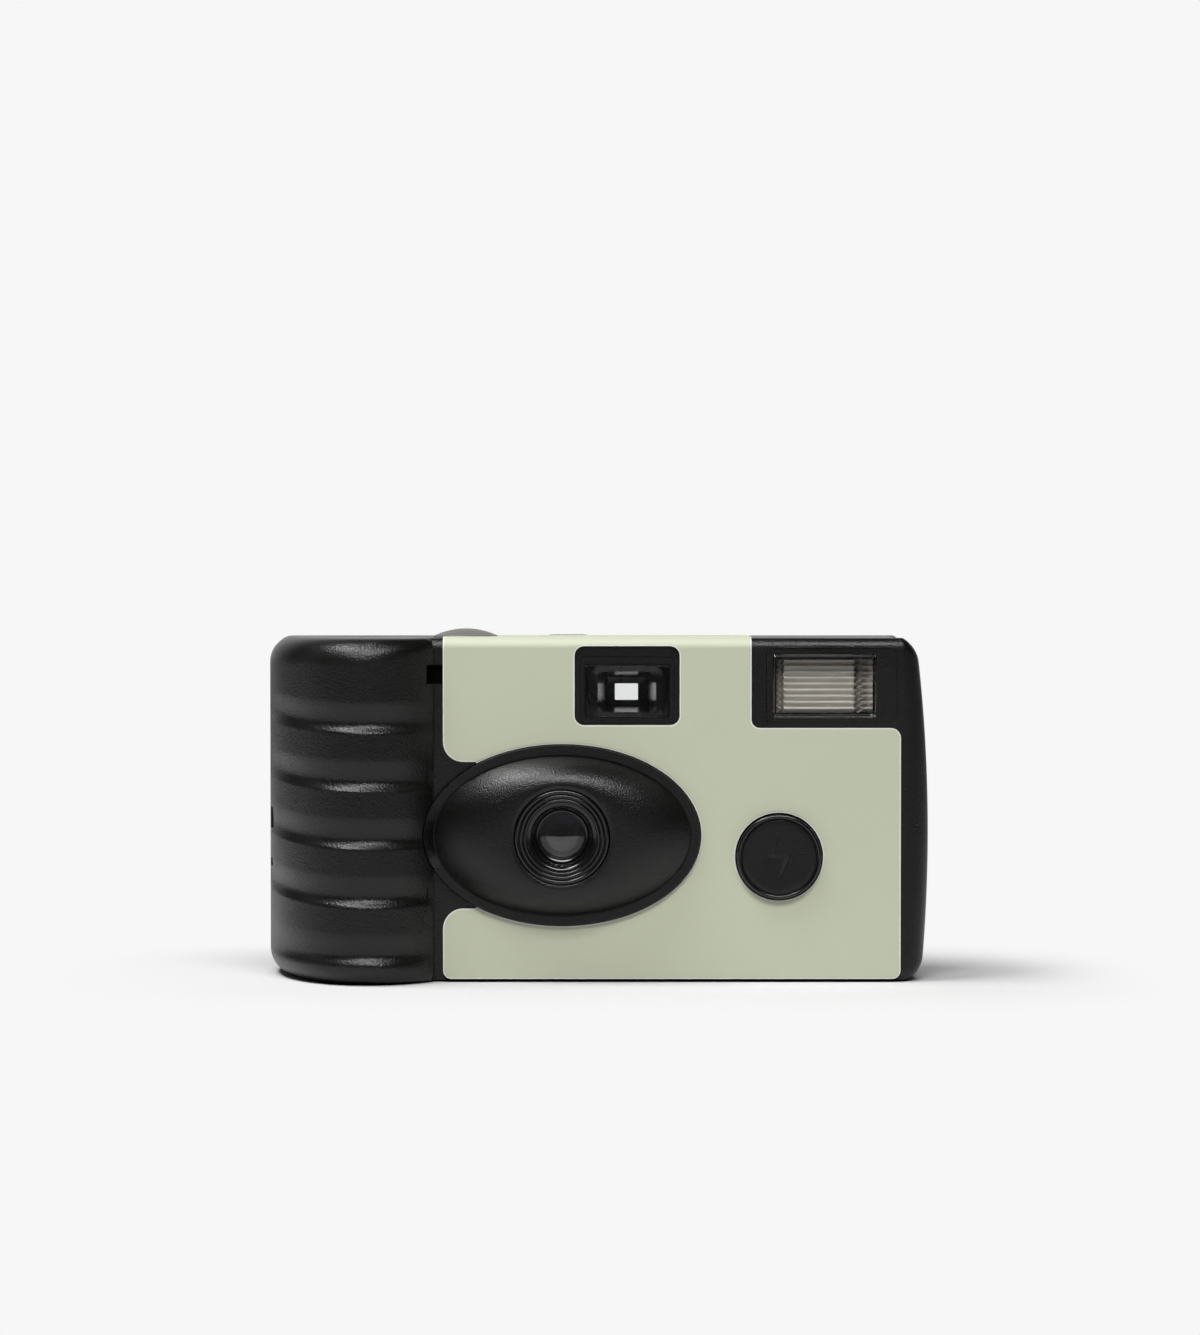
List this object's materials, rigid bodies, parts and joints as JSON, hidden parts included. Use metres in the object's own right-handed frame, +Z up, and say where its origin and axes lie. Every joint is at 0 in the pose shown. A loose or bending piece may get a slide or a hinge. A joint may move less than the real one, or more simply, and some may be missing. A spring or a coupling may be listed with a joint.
{
  "type": "single-use film camera",
  "caption": "Single-use film camera with ribbed side grip, oval lens surround, see-through finder, flash window, round flash button, top shutter button and rear thumbwheel.",
  "frame": {"origin": "centre of the base, midway across the width and depth", "axes": "+X to the right as seen from the front, -Y the way the lens looks, +Z up"},
  "size_m": [0.1185, 0.037, 0.0626],
  "materials": {
    "black_plastic": "fine spark-eroded grain",
    "satin_black_plastic": "satin",
    "gloss_black_plastic": "gloss",
    "label_paper": "matt laminated",
    "grey_plastic": "satin",
    "lever_plastic": "as moulded",
    "dial_plastic": "as moulded",
    "clear_plastic": "polished",
    "reflector_metal": "bright",
    "spring_steel": "bright",
    "contact_brass": "plated",
    "cartridge_metal": "plain lacquer",
    "film_base": "gloss",
    "board_laminate": "solder mask",
    "capacitor_sleeve": "shrink sleeve",
    "winding": "enamelled wire and tape",
    "lamp_plastic": "translucent",
    "cell_can": "plain sleeve"
  },
  "bodies": {
    "housing": {"front_cover": "black_plastic", "rear_cover": "black_plastic", "front_label": "label_paper", "rear_label": "label_paper", "lens_surround": "satin_black_plastic", "lens_ring": "satin_black_plastic", "taking_lens": "clear_plastic", "aperture_disc": "satin_black_plastic", "lens_board": "black_plastic", "shutter_return_spring": "spring_steel", "drive_spring": "spring_steel", "button_spring": "spring_steel", "cartridge_shell": "cartridge_metal", "cartridge_caps": "cartridge_metal", "film_strip": "film_base", "counter_window": "clear_plastic", "viewfinder_frame": "black_plastic", "viewfinder_front_lens": "clear_plastic", "viewfinder_eyepiece": "clear_plastic", "flash_window": "clear_plastic", "flash_reflector": "reflector_metal", "flash_tube": "clear_plastic", "flash_board": "board_laminate", "flash_capacitor": "capacitor_sleeve", "flash_transformer": "winding", "trigger_coil": "winding", "charge_contact": "contact_brass", "sync_contact": "contact_brass", "ready_lamp": "lamp_plastic", "battery": "cell_can", "battery_contact_positive": "spring_steel", "battery_contact_negative": "spring_steel", "chassis": "black_plastic"},
    "shutter_button": {"shutter_button": "grey_plastic"},
    "release_lever": {"release_lever": "lever_plastic"},
    "flash_button": {"flash_button": "gloss_black_plastic"},
    "thumbwheel": {"thumbwheel": "black_plastic", "cartridge_spool": "black_plastic"},
    "sprocket": {"sprocket": "black_plastic"},
    "supply_spool": {"supply_spool": "black_plastic", "film_roll": "film_base"},
    "counter_dial": {"counter_dial": "dial_plastic"},
    "drive_lever": {"drive_lever": "lever_plastic"},
    "shutter_blade": {"shutter_blade": "satin_black_plastic"},
    "wind_pawl": {"wind_pawl": "lever_plastic"}
  },
  "joints": [
    {"name": "shutter_button_press", "type": "slide", "parent": "housing", "child": "shutter_button", "axis": [0, 0, -1], "range_m": [0, 0.001], "stiffness_N_per_m": 400, "deforming": ["button_spring"]},
    {"name": "release_lever_rock", "type": "hinge", "parent": "housing", "child": "release_lever", "pos_m": [-0.0192, -0.0017, 0.0549], "axis": [0, -1, 0], "range_deg": [0, 16]},
    {"name": "flash_button_press", "type": "slide", "parent": "housing", "child": "flash_button", "axis": [0, 1, 0], "range_m": [0, 0.0006], "stiffness_N_per_m": 800, "deforming": ["charge_contact"]},
    {"name": "thumbwheel_wind", "type": "hinge", "parent": "housing", "child": "thumbwheel", "pos_m": [-0.03975, 0.0031, 0], "axis": [0, 0, 1], "continuous": true},
    {"name": "sprocket_turn", "type": "hinge", "parent": "housing", "child": "sprocket", "pos_m": [-0.02025, 0.0085, 0], "axis": [0, 0, 1], "continuous": true},
    {"name": "supply_turn", "type": "hinge", "parent": "housing", "child": "supply_spool", "pos_m": [0.0255, 0.00615, 0], "axis": [0, 0, 1], "continuous": true},
    {"name": "counter_turn", "type": "hinge", "parent": "housing", "child": "counter_dial", "pos_m": [-0.01175, 0.0077, 0], "axis": [0, 0, 1], "continuous": true},
    {"name": "drive_lever_strike", "type": "hinge", "parent": "housing", "child": "drive_lever", "pos_m": [-0.0121, 0.002, 0.0462], "axis": [0, 0, 1], "range_deg": [0, 36], "stiffness_Nm_per_rad": 0.004, "deforming": ["drive_spring"]},
    {"name": "shutter_blade_swing", "type": "hinge", "parent": "housing", "child": "shutter_blade", "pos_m": [-0.0139, -0.0069, 0.035], "axis": [0, 1, 0], "range_deg": [0, 32], "deforming": ["shutter_return_spring"]},
    {"name": "wind_pawl_lift", "type": "hinge", "parent": "housing", "child": "wind_pawl", "pos_m": [-0.04175, -0.014, 0.0504], "axis": [0, 0, -1], "range_deg": [0, 6], "stiffness_Nm_per_rad": 0.002}
  ],
  "couplings": [
    {"joint": "release_lever_rock", "follows": "shutter_button_press", "rad_per_m": 250},
    {"joint": "sprocket_turn", "follows": "thumbwheel_wind", "ratio": 0.92},
    {"joint": "supply_turn", "follows": "thumbwheel_wind", "ratio": 0.663},
    {"joint": "counter_turn", "follows": "thumbwheel_wind", "ratio": -0.0329},
    {"joint": "shutter_blade_swing", "follows": "drive_lever_strike", "ratio": 0.78}
  ]
}
